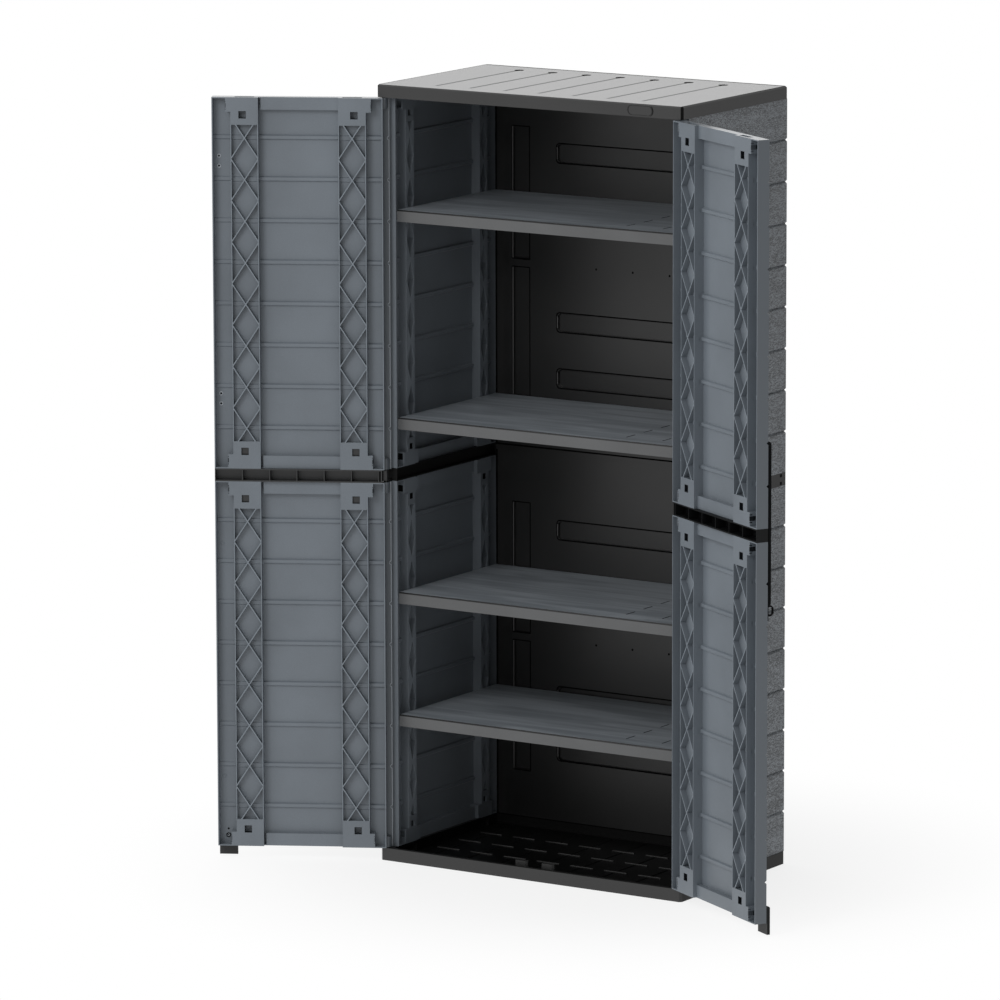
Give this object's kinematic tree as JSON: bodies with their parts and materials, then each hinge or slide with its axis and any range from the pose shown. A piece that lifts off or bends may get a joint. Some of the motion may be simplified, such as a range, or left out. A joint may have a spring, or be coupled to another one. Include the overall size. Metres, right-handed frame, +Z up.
{
  "type": "garden storage cabinet",
  "caption": "Tall resin storage cabinet with grooved walls, a tray base, a flat roof, shelves and two lattice-backed doors that stand open.",
  "frame": {"origin": "on the floor under the middle of the cabinet's base", "axes": "+X to the right seen from the front, +Y to the back, +Z up"},
  "size_m": [1.4865, 0.6649, 1.8],
  "materials": {
    "charcoal_resin": "fine stone grain, dark grey",
    "grey_resin": "smooth inner moulding, mid grey",
    "dark_resin": "fine grain, near black",
    "black_resin": "satin",
    "steel": "zinc plated"
  },
  "bodies": {
    "cabinet": {"base": "charcoal_resin", "door_stops": "black_resin", "roof": "charcoal_resin", "left_lower_wall": "charcoal_resin", "left_upper_wall": "charcoal_resin", "left_wall_connector": "black_resin", "left_hinge_pins": "steel", "right_lower_wall": "charcoal_resin", "right_upper_wall": "charcoal_resin", "right_wall_connector": "black_resin", "right_hinge_pins": "steel", "lower_back_panel": "dark_resin", "upper_back_panel": "dark_resin", "top_shelf": "dark_resin", "top_shelf_clips": "black_resin", "upper_shelf": "dark_resin", "upper_shelf_clips": "black_resin", "lower_shelf": "dark_resin", "lower_shelf_clips": "black_resin", "bottom_shelf": "dark_resin", "bottom_shelf_clips": "black_resin"},
    "left_door": {"left_lower_door_panel": "grey_resin", "left_upper_door_panel": "grey_resin", "left_door_connector": "dark_resin", "left_foot_plate": "charcoal_resin", "left_handle": "black_resin"},
    "right_door": {"right_lower_door_panel": "grey_resin", "right_upper_door_panel": "grey_resin", "right_door_connector": "dark_resin", "right_foot_plate": "charcoal_resin", "right_handle": "black_resin"}
  },
  "joints": [
    {"name": "left_door_hinge", "type": "hinge", "parent": "cabinet", "child": "left_door", "pos_m": [-0.3924, -0.2191, 0.9], "axis": [0, 0, 1], "range_deg": [-20, 152.2]},
    {"name": "right_door_hinge", "type": "hinge", "parent": "cabinet", "child": "right_door", "pos_m": [0.3924, -0.2191, 0.9], "axis": [0, 0, 1], "range_deg": [-149.3, 22]}
  ]
}
